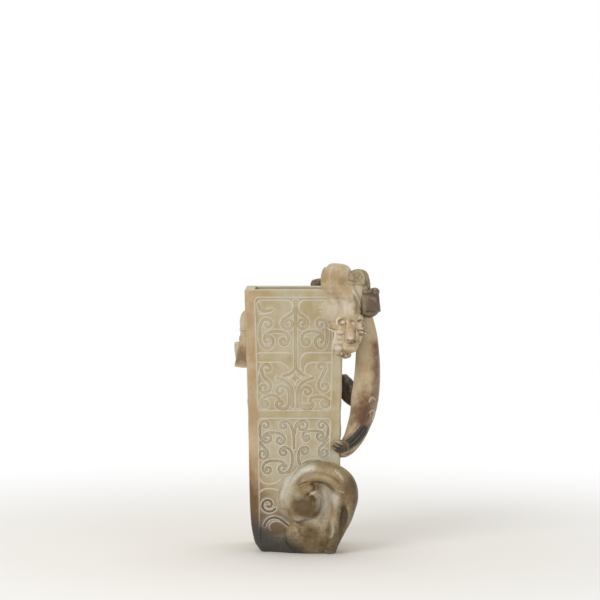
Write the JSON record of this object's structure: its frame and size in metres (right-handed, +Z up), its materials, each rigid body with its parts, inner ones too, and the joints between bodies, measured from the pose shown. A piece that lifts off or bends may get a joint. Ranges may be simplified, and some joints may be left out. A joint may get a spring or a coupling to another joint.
{
  "type": "stone vase",
  "caption": "Square tapering stone vase with carved scroll panels, a climbing dragon whose mane is the handle, and a coiled tail at the foot.",
  "frame": {"origin": "middle of the foot block's flat underside, on the surface the vase stands on", "axes": "+Z up to the mouth, -Y out of the front face, +X to the viewer's right, towards the dragon handle"},
  "size_m": [0.2046, 0.1956, 0.4011],
  "materials": {
    "slab_stone": "carved, hand-rubbed satin",
    "edge_stone": "sawn and rubbed, orange-tan stain",
    "foot_stone": "worn, grey-black patina and speckle",
    "pale_stone": "carved in the round, rubbed satin with whitened edges",
    "dark_stone": "carved, dark brown stain",
    "handle_stone": "carved, polished satin, pale above and dark brown below",
    "coil_stone": "carved, polished satin with brown stain",
    "dowel_stone": "turned, matt"
  },
  "bodies": {
    "root": {"front_wall": "slab_stone", "back_wall": "slab_stone", "left_wall": "edge_stone", "right_wall": "edge_stone", "foot_block": "foot_stone", "dragon_body": "pale_stone", "dragon_head": "pale_stone", "dragon_tuft": "pale_stone", "dragon_crest": "dark_stone", "mane_handle": "handle_stone", "grip_paw": "dark_stone", "foot_coil": "coil_stone", "left_dragon": "pale_stone", "left_fin": "pale_stone", "rear_dragon_body": "dark_stone", "rear_dragon_limb": "dark_stone", "haunch_dowel": "dowel_stone", "head_dowel": "dowel_stone", "tuft_dowel": "dowel_stone", "crest_dowel": "dowel_stone", "handle_top_dowel": "dowel_stone", "handle_foot_dowel": "dowel_stone", "coil_upper_dowel": "dowel_stone", "coil_lower_dowel": "dowel_stone", "left_dragon_dowel": "dowel_stone", "rear_body_dowel": "dowel_stone", "rear_limb_dowel": "dowel_stone"}
  },
  "joints": []
}
